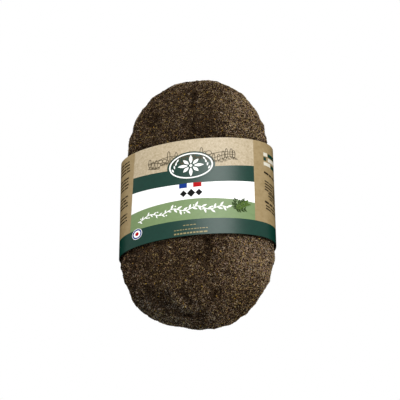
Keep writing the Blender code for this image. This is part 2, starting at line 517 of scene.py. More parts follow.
# %% [markdown]
# ## One of each herb
#
# The coat is rubbed oregano and marjoram, dried thyme, savory and basil, bits of straw-coloured stalk
# and a few yellow petals. A flake is about a millimetre long, and it is there tens of thousands of
# times, so each has only 4 to 8 triangles. Each kind is modelled once at its true size, lying flat with
# its length along X. A flat cone becomes a cupped leaf when the middle of its foot is pulled up. A
# three-sided pyramid makes a crumb when it stands and a needle when it lies, and a thin three-sided
# cylinder makes a bit of stalk.

# %% Model the flakes
UV_MAP = "OFBake"  # each flake's place on a shared map, for painting the colours onto an image
ISLAND_ANGLE = math.radians(60)
ISLAND_MARGIN = 0.05
NEAR_AXIS = 0.25  # a cone's tip and its foot's middle are nearer to its axis than this


def finish_flake(flake, name, size):
    """Scales a flake to its length, width and height in mm, unwraps it and keeps it as a pattern."""
    flake.name = name
    flake.scale = [side * MM for side in size]
    bpy.ops.object.transform_apply(location=False, rotation=True, scale=True)
    bpy.ops.object.mode_set(mode="EDIT")
    bpy.ops.mesh.select_all(action="SELECT")
    bpy.ops.mesh.quads_convert_to_tris()
    bpy.ops.mesh.normals_make_consistent(inside=False)
    bpy.ops.uv.smart_project(angle_limit=ISLAND_ANGLE, island_margin=ISLAND_MARGIN)
    bpy.ops.object.mode_set(mode="OBJECT")
    flake.data.uv_layers[0].name = UV_MAP
    flake.hide_render = True
    print(name, len(flake.data.polygons), "triangles")
    return flake


def cupped_leaf(name, foot, tip_shift, size):
    """A four-sided cone of unit width whose foot's middle is raised, and its tip moved along X."""
    bpy.ops.object.select_all(action="DESELECT")
    bpy.ops.mesh.primitive_cone_add(vertices=4, radius1=0.5, radius2=0, depth=1, end_fill_type="TRIFAN")
    flake = bpy.context.object
    for vertex in flake.data.vertices:
        if math.hypot(vertex.co.x, vertex.co.y) > NEAR_AXIS:
            continue
        if vertex.co.z < 0:
            vertex.co.z = foot
        vertex.co.x += tip_shift
    return finish_flake(flake, name, size)


def shard(name, turn, size):
    """A three-sided pyramid of unit width, upright or lying along X."""
    bpy.ops.object.select_all(action="DESELECT")
    bpy.ops.mesh.primitive_cone_add(vertices=3, radius1=0.5, radius2=0, depth=1, end_fill_type="NGON")
    flake = bpy.context.object
    flake.data.transform(Matrix.Rotation(turn, 4, "Y"))
    return finish_flake(flake, name, size)


def stick(name, size):
    """A three-sided cylinder of unit width, lying along X."""
    bpy.ops.object.select_all(action="DESELECT")
    bpy.ops.mesh.primitive_cylinder_add(vertices=3, radius=0.5, depth=1, end_fill_type="NGON")
    flake = bpy.context.object
    flake.data.transform(Matrix.Rotation(math.pi / 2, 4, "Y"))
    return finish_flake(flake, name, size)


oregano = shard("pattern_oregano", 0.0, (0.54, 0.42, 0.26))
marjoram = shard("pattern_marjoram", 0.0, (0.5, 0.48, 0.24))
thyme = cupped_leaf("pattern_thyme", 0.1, 0.08, (0.76, 0.36, 0.18))
basil = cupped_leaf("pattern_basil", 0.15, -0.1, (0.9, 0.66, 0.2))
savory = shard("pattern_savory", math.pi / 2, (0.95, 0.28, 0.28))
stalk = stick("pattern_stalk", (1.2, 0.18, 0.18))

# %% [markdown]
# ## Colours of dried herbs
#
# Dried leaves keep a dull green at best and mostly turn brown, grey or straw. Each flake carries one
# number, its tint, and a colour ramp turns it into one of its kind's colours. A little noise inside
# the flake makes no two alike. A second number says how much fine dust lies on it, which takes some
# warmth out of its colour. The leaf is matt, with the faint gleam of dried oils.

# %% Material: dried herb
DUST_TINGE = "E2F1FF"  # fine grey-green dust takes some of the warmth out of a flake's brown
HERB_ROUGHNESS = 0.6
MOTTLE = 0.3  # how far the noise spreads the tint inside a flake
MOTTLE_WIDTH = 0.5 * MM


def dried_herb(name, colours):
    """Dried and rubbed leaf: matt, mottled, one main colour for each flake, greyer where it is dusty."""
    material, shader = new_material(name, HERB_ROUGHNESS, HERB_SPECULAR)
    tint = add_node(material, "ShaderNodeAttribute", {}, attribute_name="tint")
    coordinates = add_node(material, "ShaderNodeTexCoord", {})
    mottle = add_node(
        material, "ShaderNodeTexNoise",
        {"Vector": coordinates.outputs["Object"], "Scale": 1 / MOTTLE_WIDTH, "Detail": 1.0},
    )
    shade = add_node(
        material, "ShaderNodeMath", {0: mottle.outputs["Fac"], 1: MOTTLE, 2: tint.outputs["Fac"]},
        operation="MULTIPLY_ADD",
    )
    centred = add_node(
        material, "ShaderNodeMath", {0: shade.outputs[0], 1: MOTTLE / 2}, operation="SUBTRACT"
    )
    ramp = add_node(material, "ShaderNodeValToRGB", {"Fac": centred.outputs[0]})
    set_ramp(ramp, even_stops(colours))
    dust = add_node(material, "ShaderNodeAttribute", {}, attribute_name="dust")
    dusty = add_node(
        material, "ShaderNodeMix",
        {"Factor": dust.outputs["Fac"], "A": ramp.outputs["Color"], "B": linear(DUST_TINGE)},
        data_type="RGBA", blend_type="MULTIPLY",
    )
    material.node_tree.links.new(dusty.outputs["Result"], shader.inputs["Base Color"])
    return material


# Each herb's colours, from its darkest flakes to its palest
HERB_COLOURS = {
    "rubbed_oregano": ("080200", "130702", "221408", "382616", "5A442F", "BC9873"),
    "rubbed_marjoram": ("070301", "110903", "1F150D", "35291F", "584B3E", "BDAB95"),
    "dried_basil": ("070502", "110D08", "1F1B15", "353129", "545147"),
    "dried_thyme": ("090301", "150A04", "26170F", "3C2B22", "604B41", "BC9E8F"),
    "dried_savory": ("0B0300", "180C02", "2A1B09", "443219", "6D5833", "CBB070"),
    "dried_stalk": ("271807", "45331E", "6F5A41", "A69072", "DDCAAA"),
    "dried_petal": ("5C3812", "8E6414", "B88A20", "D4B04A"),
}
print("herbs", list(HERB_COLOURS))

# %% [markdown]
# ## Rolling the loaf in herbs
#
# Copying tens of thousands of objects one by one would be slow, so numpy does what an array modifier
# does, for all copies at once: it draws places on the bare loaf by area, gives each flake its own
# turn, tilt, size, bend and tint, and joins the copies into one mesh for each herb. Flakes that would
# reach the card or the table are left out. Particles would be lighter, but the export needs real mesh.
#
# A coat rolled on by hand is never even: handfuls of the mix hold more of one herb than of another,
# and dust gathers at the near end. Light and shade are painted on too: painted light makes the right
# side and a few places lighter, and painted shade darkens the coat beside the card, in the creases and
# at a few other places. All this goes into the tints, so the flakes themselves stay evenly spread.

# %% Name where the coat is uneven, and where light and shade are painted
PAINTED_LIGHT_RIGHT = 0.2  # painted light: so much is added to the tint of the flakes on the right, as if lit from that side
PAINTED_LIGHT_FROM = 5.0 * MM
PAINTED_LIGHT_WIDTH = 22.0 * MM
RIM_SHADE = 0.14  # painted shadow of the card: so much is taken off the tint of the flakes beside the rims
RIM_SHADE_WIDTH = 2.4 * MM
PATCHINESS = 0.15
PATCH_WIDTH = 3.0 * MM
CREASE_SHADE = 0.12  # painted shade: so much darker for each millimetre of a crease's depth
# Where the mix was uneven, and where light and shade are painted: a place and its reach in mm, and how
# much paler each herb is there
HANDFULS_AND_PAINTED_LIGHT = (
    ((-34, -42, 29), 14, {"all": -0.05, "thyme": 0.1, "savory": -0.14}),
    # painted light on the near end's right flank
    ((34, -43, 31), 14, {"all": 0.24, "thyme": 0.3, "savory": 0.06}),
    ((39, -52, 24), 9, {"all": 0.12}),
    # painted shadow of the card beside the far rim
    ((12, 36, 38), 9, {"all": -0.16}),
    # painted light below the near rim
    ((-2, -33, 39), 9, {"all": 0.09}),
    ((38, 42, 28), 15, {"all": 0.08, "marjoram": -0.02}),
    ((-8, 50, 36), 22, {"savory": 0.1}),
    ((-12, -48, 37), 16, {"savory": 0.12, "marjoram": -0.08, "thyme": -0.1}),
    ((-12, -66, 31), 8, {"marjoram": 0.16, "oregano": -0.06, "savory": -0.14, "thyme": -0.04}),
    ((2, -72, 27), 10, {"marjoram": 0.2, "thyme": -0.04}),
    ((22, -27, 39), 10, {"all": 0.1}),
    ((-30, -64, 23), 12, {"all": 0.04, "marjoram": 0.08, "thyme": 0.1, "savory": -0.04}),
    ((-17, -71, 23), 8, {"all": 0.09}),
    ((-8, -76, 24), 10, {"all": 0.17}),
    ((6, -75, 22), 7, {"all": 0.16}),
    ((24, -66, 28), 12, {"all": -0.08, "marjoram": -0.2, "thyme": -0.2, "savory": 0.02}),
    ((32, -60, 24), 8, {"all": 0.08, "marjoram": -0.2, "thyme": -0.14}),
    ((4, -70, 28), 14, {"all": 0.06}),
    # painted shade along the long crease at the near end
    ((-24, -61, 31), 3, {"all": -0.08}),
    ((-20, -65, 31), 3, {"all": -0.14}),
    ((-15, -69, 29.5), 2.5, {"all": -0.22}),
    ((-10, -72, 28), 2.5, {"all": -0.26}),
    ((-5, -74, 27), 3, {"all": -0.2}),
    ((2, -75.5, 26.5), 3.5, {"all": -0.2}),
)
# Where the finest dust has gathered: a place and its reach in mm
DUSTY_PLACES = (((-30, -64, 23), 10), ((-18, -67, 29), 8), ((-18, -70, 24), 10), ((-2, -76, 22), 11))
print(len(HANDFULS_AND_PAINTED_LIGHT), "uneven places and", len(DUSTY_PLACES), "dusty ones")

# %% Measure the bare coat
TINY = 1e-20  # keeps a cell without any area from dividing by 0

loaf.data.calc_loop_triangles()
triangles = np.array([triangle.vertices for triangle in loaf.data.loop_triangles])
corners = points_of(loaf.data)[triangles]
crossed = np.cross(corners[:, 1] - corners[:, 0], corners[:, 2] - corners[:, 0])
areas = np.linalg.norm(crossed, axis=1) / 2
facing = crossed / (2 * areas[:, None] + TINY)
areas[past_rim(corners.mean(axis=1)) < 0] = 0.0
print("bare coat", round(areas.sum() / MM**2 / 100), "square cm")

# %% Lay flakes on it
RIM_CLEAR = 0.12 * MM
TABLE_CLEAR = 0.12 * MM
PROPORTIONS = (0.75, 1.25)  # each side of a flake is stretched by its own number between these
BEND = 0.12  # how far a flake may curl, in mm of height for each square mm of length


def unit(vectors):
    """The same directions, all with length 1."""
    return vectors / np.linalg.norm(vectors, axis=-1, keepdims=True)


def laid_flakes(pattern, count, sizes, lift, tilt, draw):
    """Points of this many copies of the pattern on the coat, each copy a row."""
    chosen = draw.choice(len(areas), count, p=areas / areas.sum())
    cuts = np.sort(draw.random((2, count)), axis=0)
    shares = np.stack((cuts[0], cuts[1] - cuts[0], 1 - cuts[1]), axis=1)
    places = (corners[chosen] * shares[:, :, None]).sum(axis=1)
    up = unit(facing[chosen] + draw.normal(0.0, tilt, (count, 3)))
    along = unit(np.cross(up, draw.normal(size=(count, 3))))
    across = np.cross(up, along)
    flake = points_of(pattern.data)[None] * draw.uniform(*sizes, (count, 1, 1))
    flake = flake * draw.uniform(*PROPORTIONS, (count, 1, 3))
    bend = draw.uniform(-BEND, BEND, (count, 1)) / MM
    height = flake[..., 2] + bend * flake[..., 0] ** 2 + lift
    laid = places[:, None] + flake[..., :1] * along[:, None] + flake[..., 1:2] * across[:, None]
    laid = laid + height[..., None] * up[:, None]
    outside = past_rim(laid.reshape(-1, 3)).reshape(laid.shape[:2]).min(axis=1) > RIM_CLEAR
    return laid[outside & (laid[..., 2].min(axis=1) > TABLE_CLEAR)]


print("flakes stay", RIM_CLEAR / MM, "mm off the card and", TABLE_CLEAR / MM, "mm off the table")


# %% Tint them
def tints_of(herb, places, draw):
    """Each flake's tint: drawn evenly, patchy, with painted light on the right and painted shade by the
    rims and in creases.
    """
    patches = np.array([noise.noise(place / PATCH_WIDTH) for place in places])
    tints = draw.random(len(places)) + PATCHINESS * patches
    # painted light: the flakes on the right are lighter, as if lit from that side
    tints += PAINTED_LIGHT_RIGHT * smooth_step((places[:, 0] - PAINTED_LIGHT_FROM) / PAINTED_LIGHT_WIDTH)
    # each handful's herb mix, and the light and shade painted in some of them
    for place, reach, changes in HANDFULS_AND_PAINTED_LIGHT:
        away = np.linalg.norm(places / MM - place, axis=1) / reach
        tints += changes.get(herb, changes.get("all", 0.0)) * np.exp(-(away**2))
    # painted shadow of the card beside both rims
    beside_rim = np.exp(-((past_rim(places) / RIM_SHADE_WIDTH) ** 2))
    tints -= RIM_SHADE * beside_rim
    # painted shade in the creases
    return tints - CREASE_SHADE * creased(places) / MM


def dust_on(places):
    """How dusty each place is, from 0 to 1."""
    share = np.zeros(len(places))
    for place, reach in DUSTY_PLACES:
        share += np.exp(-((np.linalg.norm(places / MM - place, axis=1) / reach) ** 2))
    return np.minimum(share, 1.0)


print("the tip of the near end is", round(dust_on(np.array([[0, -76 * MM, 22 * MM]]))[0], 2), "dusty")

# %% Join them in one mesh
CELL_MARGIN = 0.08  # the share of a cell of the shared map that stays free at each side


def keep_on_corners(mesh, name, values, corner_count):
    """Stores one value for each flake, on all its corners."""
    layer = mesh.attributes.new(name, "FLOAT", "POINT")
    layer.data.foreach_set("value", np.repeat(values, corner_count).astype(np.float32))


def cells_of_map(pattern, count):
    """Each copy's corners on the shared map: the pattern's own map, shrunk into its cell of a grid."""
    side = math.ceil(math.sqrt(count))
    number = np.arange(count)
    origin = np.stack((number % side, number // side), axis=1)
    own = np.array([corner.uv for corner in pattern.data.uv_layers[UV_MAP].data])
    return (origin[:, None] + CELL_MARGIN + (1 - 2 * CELL_MARGIN) * own[None]) / side


def scatter(name, pattern, count, material, sizes, lift, tilt, seed):
    """One joined mesh of copies of the pattern, scattered over the coat."""
    draw = np.random.default_rng(seed)
    laid = laid_flakes(pattern, count, sizes, lift, tilt, draw)
    faces = np.array([face.vertices for face in pattern.data.polygons])
    firsts = np.arange(len(laid))[:, None] * laid.shape[1]
    indices = (faces.reshape(1, -1) + firsts).ravel()
    mesh = bpy.data.meshes.new(name)
    mesh.vertices.add(laid.shape[0] * laid.shape[1])
    mesh.vertices.foreach_set("co", laid.astype(np.float32).ravel())
    mesh.loops.add(len(indices))
    mesh.loops.foreach_set("vertex_index", indices)
    mesh.polygons.add(len(indices) // 3)
    mesh.polygons.foreach_set("loop_start", np.arange(0, len(indices), 3))
    mesh.update(calc_edges=True)
    layer = mesh.uv_layers.new(name=UV_MAP)
    layer.data.foreach_set("uv", cells_of_map(pattern, len(laid)).astype(np.float32).ravel())
    places = laid.mean(axis=1)
    herb = name.split("_")[0]  # as the uneven places name it
    keep_on_corners(mesh, "tint", tints_of(herb, places, draw), laid.shape[1])
    keep_on_corners(mesh, "dust", dust_on(places), laid.shape[1])
    mesh.materials.append(material)
    flakes = bpy.data.objects.new(name, mesh)
    bpy.context.scene.collection.objects.link(flakes)
    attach(flakes, "root")
    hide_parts("cheese")
    print(name, len(laid), "flakes,", len(mesh.polygons), "triangles")


# %% [markdown]
# ## The coat, kind by kind
#
# Basil and thyme lie lowest, then savory, and the rubbed crumbs of oregano and marjoram over them. The
# bits of stalk and the petals lie on top, because they are the palest and stand out most. Together they
# cover the loaf so well that its own crumb shows only in the gaps.

# %% Lay the coat
# Each kind's piece, pattern, count, material, smallest and largest size, lift in mm, tilt and seed
KINDS = (
    ("oregano_crumbs", oregano, 49000, "rubbed_oregano", (0.6, 1.25), 0.2, 0.35, 11),
    ("marjoram_crumbs", marjoram, 49000, "rubbed_marjoram", (0.5, 1.2), 0.24, 0.35, 17),
    ("basil_flakes", basil, 7000, "dried_basil", (0.5, 1.2), 0.12, 0.25, 12),
    ("thyme_leaves", thyme, 18000, "dried_thyme", (0.6, 1.25), 0.12, 0.3, 13),
    ("savory_needles", savory, 26000, "dried_savory", (0.5, 1.3), 0.14, 0.3, 14),
    ("stalk_bits", stalk, 2400, "dried_stalk", (0.4, 1.3), 0.24, 0.3, 15),
    ("petal_specks", oregano, 360, "dried_petal", (0.9, 2.1), 0.34, 0.3, 16),
)
for name, pattern, count, herb, sizes, lift, tilt, seed in KINDS:
    scatter(name, pattern, count, dried_herb(herb, HERB_COLOURS[herb]), sizes, lift * MM, tilt, seed)

# %% [markdown]
# ## A card that is printed flat and then wrapped
#
# The real sleeve is a strip of card, printed flat, cut, wrapped round the loaf and glued in a lap
# underneath. It is modelled in the same order. On the flat card X is the way round the loaf, measured
# from the top line, and Y runs along the loaf. To wrap it, every point goes to the place on the
# sleeve's section that is as far round as it was along the card.

# %% Measure the way round the sleeve
WIDEST_Z = 20.7 * MM
BELLY = 24.9 * MM  # the section's lower half, before lying on the table has flattened it
LAP = 12.0 * MM
LAP_RISE = 8.0 * MM
CARD = 0.25 * MM
LAP_GAP = 0.02 * MM  # between the two layers of card in the lap
SECTION_SAMPLES = 6001

turns = np.linspace(math.pi / 2, -math.pi / 2, SECTION_SAMPLES)
heights = np.where(np.sin(turns) > 0, band_high.z - WIDEST_Z, BELLY)
section_x = band_high.x * np.cos(turns)
section_z = np.maximum(WIDEST_Z + heights * np.sin(turns), band_low.z)
steps = np.hypot(np.diff(section_x), np.diff(section_z))
arc = np.concatenate(([0.0], np.cumsum(steps)))
HALF_ROUND = arc[-1]
slope_x = np.gradient(section_x, arc)
slope_z = np.gradient(section_z, arc)
print("once round the sleeve is", round(2 * HALF_ROUND / MM, 1), "mm")


def wrap(obj):
    """Wraps a flat shape round the loaf: X goes round, Y stays, and Z becomes the height above it."""
    flat = points_of(obj.data)
    round_x = (flat[:, 0] + HALF_ROUND) % (2 * HALF_ROUND) - HALF_ROUND
    side = np.where(round_x < 0, -1.0, 1.0)
    away = np.abs(round_x)
    lap_depth = (CARD + LAP_GAP) * smooth_step((flat[:, 0] - HALF_ROUND + LAP_RISE) / LAP_RISE)
    height = flat[:, 2] - lap_depth
    across = np.interp(away, arc, section_x) - np.interp(away, arc, slope_z) * height
    up = np.interp(away, arc, section_z) + np.interp(away, arc, slope_x) * height
    set_points(obj.data, np.stack((side * across, flat[:, 1] + ASKEW * side * across, up), axis=1))


# %% [markdown]
# ## Where the print's fields meet
#
# The front of the sleeve is a paler panel with a dark green stripe, a white field and a light green
# field with an arched top. A second dark green stripe runs right round the lower rim, and the sides
# are plain brown kraft. These are the borders, in millimetres on the flat card.

# %% Name the borders
FRONT_HALF = 35.1
FRONT_LEFT = -35.4
FRONT_LEFT_SLANT = 0.05  # the panel's left border leans by so much for each millimetre along the loaf
STRIPE_TOP = 9.95
STRIPE_TOP_LEAN = -0.27  # how far this border rises from the middle of the front to its right end,
STRIPE_TOP_BOW = 1.8  # and how far it bows up to both ends
STRIPE_FOOT = 0.15
STRIPE_FOOT_LEAN = -0.47
STRIPE_FOOT_BOW = 1.34
ARCH_TOP = -9.85
ARCH_MIDDLE = 3.0
ARCH_DROP = 2.1
ARCH_HALF = 36.0
ARCH_POWER = 1.6  # between a roof's 1 and a bow's 2
ARCH_SLANT = -0.025
FOOT_STRIPE_TOP = -22.9
FOOT_STRIPE_SLANT = -0.015  # for each millimetre across, as the card is printed slightly askew


def front_left(y):
    """The left border of the front panel, this far along the loaf."""
    return FRONT_LEFT + FRONT_LEFT_SLANT * y


def stripe_top(s):
    """The top edge of the dark green stripe, this far from the top line."""
    return STRIPE_TOP + STRIPE_TOP_LEAN * s / FRONT_HALF + STRIPE_TOP_BOW * (s / FRONT_HALF) ** 2


def stripe_foot(s):
    """The bottom edge of the dark green stripe."""
    return STRIPE_FOOT + STRIPE_FOOT_LEAN * s / FRONT_HALF + STRIPE_FOOT_BOW * (s / FRONT_HALF) ** 2


def arch(s):
    """The top edge of the light green field."""
    return ARCH_TOP + ARCH_SLANT * s - ARCH_DROP * abs((s - ARCH_MIDDLE) / ARCH_HALF) ** ARCH_POWER


def foot_stripe_top(s):
    """The top edge of the stripe along the lower rim. It leans across the loaf and closes below it."""
    across = math.copysign(np.interp(abs(s), arc / MM, section_x / MM), s)
    return FOOT_STRIPE_TOP + FOOT_STRIPE_SLANT * across


print("the light green field rises to", round(arch(ARCH_MIDDLE), 2), "mm")

# %% [markdown]
# ## Satin print on kraft card
#
# The card is pressed from unbleached fibre, which gives it a warm brown with fine flecks. Opaque inks
# cover it in flat fields, and a satin varnish seals them all. So each field is the same material with
# other colours: fibre noise a few tenths of a millimetre wide, cloudier where the bare kraft shows.

# %% Material: printed card
FIBRE_WIDTH = 0.35 * MM
FIBRE_RELIEF = 0.02 * MM
CLOUD_RANGE = (0.32, 0.68)  # the noise seldom leaves this range, so the two colours stand at its ends


def printed_card(name, dark, light, roughness=0.42, specular=0.25, cloud=2.5):
    """Kraft card under an offset-printed ink and a satin varnish. The clouds' width is in millimetres."""
    material, shader = new_material(name, roughness, specular)
    coordinates = add_node(material, "ShaderNodeTexCoord", {})
    clouds = add_node(
        material, "ShaderNodeTexNoise",
        {
            "Vector": coordinates.outputs["Object"], "Scale": 1 / (cloud * MM),
            "Detail": 4.0, "Roughness": 0.7,
        },
    )
    ramp = add_node(material, "ShaderNodeValToRGB", {"Fac": clouds.outputs["Fac"]})
    set_ramp(ramp, list(zip(CLOUD_RANGE, (dark, light))))
    material.node_tree.links.new(ramp.outputs["Color"], shader.inputs["Base Color"])
    fibres = add_node(
        material, "ShaderNodeTexNoise",
        {"Vector": coordinates.outputs["Object"], "Scale": 1 / FIBRE_WIDTH, "Detail": 2.0},
    )
    relief = add_node(
        material, "ShaderNodeBump",
        {"Height": fibres.outputs["Fac"], "Distance": FIBRE_RELIEF, "Strength": 0.4},
    )
    material.node_tree.links.new(relief.outputs["Normal"], shader.inputs["Normal"])
    return material


card_fields = {
    "pale_kraft": printed_card("pale_printed_kraft", "9F8F71", "BEAF95", cloud=1.2),
    "brown_kraft": printed_card("brown_kraft", "8C7852", "9C8863"),
    "dark_green": printed_card("dark_green_ink", "053026", "09362B", roughness=0.34),
    "white": printed_card("white_ink", "F5F5F3", "F9F9F8"),
    "light_green": printed_card("light_green_ink", "6C8256", "748A5D"),
    "bare_inside": printed_card("unprinted_kraft", "8F7C5B", "9F8B6A", roughness=0.8),
}
print("card fields", list(card_fields))

# %% [markdown]
# ## Cut, colour and wrap the card
#
# A plane is cut by straight bisects where the fields meet and every 1.25 mm round the loaf, so that it
# can bend. The rows where fields meet are cut straight and then moved onto their curved borders. Each
# face gets the ink of the field it lies in. Wrapped, the card gets its thickness inwards from a Solidify
# modifier.

# %% Cut the card
COLUMN_STEP = 1.25
PLAIN_ROWS = [-28, -16, -4, 6, 17, 23]  # cuts between the borders, so that no face is too long
half_round_mm = HALF_ROUND / MM
columns = list(np.arange(-half_round_mm, half_round_mm + LAP / MM, COLUMN_STEP)[1:])
columns.append(FRONT_HALF)


def cut_flat(place, normal):
    """Cuts the mesh that is in edit mode along a straight line, all over."""
    bpy.ops.mesh.select_all(action="SELECT")
    bpy.ops.mesh.bisect(plane_co=Vector(place) * MM, plane_no=normal)


bpy.ops.object.select_all(action="DESELECT")
bpy.ops.mesh.primitive_plane_add(size=1.0)
sleeve = bpy.context.object
sleeve.name = "printed_sleeve"
card_left, card_right = -HALF_ROUND, HALF_ROUND + LAP
for vertex in sleeve.data.vertices:
    vertex.co.x = card_left if vertex.co.x < 0 else card_right
    vertex.co.y = band_low.y if vertex.co.y < 0 else band_high.y
bpy.ops.object.mode_set(mode="EDIT")
for column in columns:
    cut_flat((column, 0, 0), (1, 0, 0))
cut_flat((FRONT_LEFT, 0, 0), (1, -FRONT_LEFT_SLANT, 0))
for row in [FOOT_STRIPE_TOP, ARCH_TOP, STRIPE_FOOT, STRIPE_TOP] + PLAIN_ROWS:
    cut_flat((0, row, 0), (0, 1, 0))
bpy.ops.object.mode_set(mode="OBJECT")
print("card cut at", len(columns) + 1, "columns, into", len(sleeve.data.polygons), "faces")

# %% Move the borders, colour the fields and wrap the card
ROW_REACH = FRONT_HALF + 3.0  # 3 mm past the borders of the panel, where the card has one colour
NEAR = 0.01  # points this close to a row lie on it
SHARP_FROM = math.radians(30)
# Each row that becomes a border, how far it reaches to both sides, and its height there
BORDERS = (
    (FOOT_STRIPE_TOP, half_round_mm, foot_stripe_top), (ARCH_TOP, ROW_REACH, arch),
    (STRIPE_FOOT, ROW_REACH, stripe_foot), (STRIPE_TOP, ROW_REACH, stripe_top),
)
for vertex in sleeve.data.vertices:
    s, y = vertex.co.x / MM, vertex.co.y / MM
    for row, reach, edge in BORDERS:
        if abs(y - row) < NEAR and abs(s) <= reach + NEAR:
            vertex.co.y = edge(s) * MM


def field_at(s, y):
    """The print's field at this place on the flat card."""
    if y < foot_stripe_top(s):
        return "dark_green"
    if s > FRONT_HALF or s < front_left(y):
        return "brown_kraft"
    if y < arch(s):
        return "light_green"
    if y < stripe_foot(s):
        return "white"
    return "dark_green" if y < stripe_top(s) else "pale_kraft"


field_names = list(card_fields)
for name in field_names:
    sleeve.data.materials.append(card_fields[name])
for face in sleeve.data.polygons:
    middle = face.center / MM
    face.material_index = field_names.index(field_at(middle.x, middle.y))
wrap(sleeve)
# An offset past the last slot gives the whole inside the last material, the bare card
apply_modifier(sleeve, "SOLIDIFY", thickness=CARD, offset=-1.0, material_offset=len(field_names))
only(sleeve)
bpy.ops.object.shade_smooth_by_angle(angle=SHARP_FROM)
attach(sleeve, "root")
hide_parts("paper_band")
print("sleeve", len(sleeve.data.polygons), "faces")

# %% [markdown]
# ## Flat shapes to print with
#
# The ornaments are plain shapes: leaves, discs, lozenges, blocks and drawn strokes. Curves could draw
# them too, but a mesh can be cut and bent with the card. One of each is modelled flat and one unit
# wide, and stamped at its true size wherever it is needed. A stroke is a grid one cell wide whose points
# are moved to both sides of the line it follows.

# %% Model the stamps
LEAF_TAPER = 0.6  # how much narrower a leaf is at its ends than in its middle
LEAF_POWER = 1.5  # 1 makes straight sides, and more makes rounder ones


def flat_pattern(name, corners_round, turn=0.0):
    """A flat shape of unit width with this many corners, kept out of the picture."""
    bpy.ops.object.select_all(action="DESELECT")
    bpy.ops.mesh.primitive_circle_add(vertices=corners_round, radius=0.5, fill_type="NGON")
    shape = bpy.context.object
    shape.name = name
    shape.data.transform(Matrix.Rotation(turn, 4, "Z"))
    shape.hide_render = True
    return shape


disc = flat_pattern("pattern_disc", corners_round=40)
lozenge = flat_pattern("pattern_lozenge", corners_round=4)
leaf = flat_pattern("pattern_leaf", corners_round=16)
for vertex in leaf.data.vertices:
    vertex.co.y *= 1.0 - abs(2 * vertex.co.x) ** LEAF_POWER * LEAF_TAPER
    vertex.co.x += 0.5
block = flat_pattern("pattern_block", corners_round=4, turn=math.pi / 4)
block.data.transform(Matrix.Scale(math.sqrt(2), 4))
print("stamps", [shape.name for shape in (disc, lozenge, leaf, block)])


# %% Stamp and draw with them
def stamped(shape, s, y, length, width, turn=0.0):
    """A copy of a flat shape at this place on the card, in millimetres."""
    copy = shape.copy()
    copy.data = shape.data.copy()
    copy.hide_render = False
    size = Vector((length, width, 1.0)) * MM
    copy.data.transform(Matrix.LocRotScale(Vector((s, y, 0.0)) * MM, Euler((0, 0, turn)), size))
    bpy.context.scene.collection.objects.link(copy)
    return copy


def stroke(line, width):
    """A drawn line through these places on the card, in millimetres."""
    line = np.array(line, float)
    bpy.ops.object.select_all(action="DESELECT")
    bpy.ops.mesh.primitive_grid_add(x_subdivisions=len(line) - 1, y_subdivisions=1, size=1.0)
    drawn = bpy.context.object
    along = unit(np.gradient(line, axis=0))
    aside = np.stack((-along[:, 1], along[:, 0]), axis=1) * width / 2
    sides = np.concatenate((line - aside, line + aside)) * MM
    set_points(drawn.data, np.column_stack((sides, np.zeros(len(sides)))))
    return drawn


def oval(s, y, half_length, half_height, points=64):
    """Places round an oval, closed."""
    turn = np.linspace(0, 2 * math.pi, points + 1)
    return np.stack((s + half_length * np.cos(turn), y + half_height * np.sin(turn)), axis=1)


print("an oval has", len(oval(0, 0, 1, 1)), "places")

# %% [markdown]
# ## Printing a colour
#
# Offset printing lays one ink after another. Here all shapes of one ink are joined, cut at the same
# columns as the card so that they bend exactly as it does, wrapped, and given a film's thickness. The
# film is drawn thicker than the real one, so that it never sinks into the card.

# %% Print one ink
INK = 0.03 * MM
LAYER_RISE = 1.2  # each ink lies this many films above the one below it


def ink(name, dark, light, roughness=0.42, specular=0.06):
    """Offset ink for the small shapes, matt unless it is given more shine."""
    return printed_card(name, dark, light, roughness, specular, cloud=0.8)


def print_shapes(name, shapes, material, layer=1):
    """Joins the shapes of one ink, bends them with the card and gives them thickness."""
    bpy.ops.object.select_all(action="DESELECT")
    for shape in shapes:
        shape.select_set(True)
    bpy.context.view_layer.objects.active = shapes[0]
    bpy.ops.object.join()
    printed = bpy.context.object
    printed.name = name
    printed.data.name = name
    flat = points_of(printed.data)
    flat[:, 2] = layer * INK * LAYER_RISE
    set_points(printed.data, flat)
    bpy.ops.object.mode_set(mode="EDIT")
    for column in columns:
        if flat[:, 0].min() < column * MM < flat[:, 0].max():
            cut_flat((column, 0, 0), (1, 0, 0))
    bpy.ops.mesh.select_all(action="SELECT")
    bpy.ops.mesh.quads_convert_to_tris()
    bpy.ops.object.mode_set(mode="OBJECT")
    wrap(printed)
    apply_modifier(printed, "SOLIDIFY", thickness=INK, offset=1.0)
    printed.data.materials.clear()
    printed.data.materials.append(material)
    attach(printed, "root")
    print(name, len(shapes), "shapes,", len(printed.data.polygons), "faces")


# %% [markdown]
# ## The medallion and the small ornaments
#
# On the upper stripe sits an oval medallion with a ring and a rosette of leaves, a plain sign for a
# herb product. Under it come a tab in three colours, a row of lozenges and, below the arch, a white
# vine and a green sprig. None of them is lettering, and all are common printers' ornaments.

# %% Draw the medallion
MEDALLION_S, MEDALLION_Y = 0.0, 11.6
MEDALLION_SIZE = (27.0, 18.6)
RING_HALVES = (11.9, 7.9)
RING_WIDTH = 0.8
ROSETTE_LEAVES = 8
ROSETTE_HOLLOW = 1.3  # how far from the middle its leaves start
ROSETTE_STRETCH = 1.3  # that much further to the sides, as the medallion is an oval
ROSETTE_LENGTHS = (5.6, 4.3)  # long and short leaves by turns
ROSETTE_WIDTH = 2.0
HEART = 1.7  # the disc in its middle
# The little leaves on both sides: how far to the side, how far up, and how far each leans outwards
SPRAY = ((9.6, -3.0, 0.5), (9.1, -1.0, 0.15), (8.6, 1.0, -0.2), (8.1, 3.0, -0.55))
SPRAY_LENGTH, SPRAY_WIDTH = 2.4, 0.9

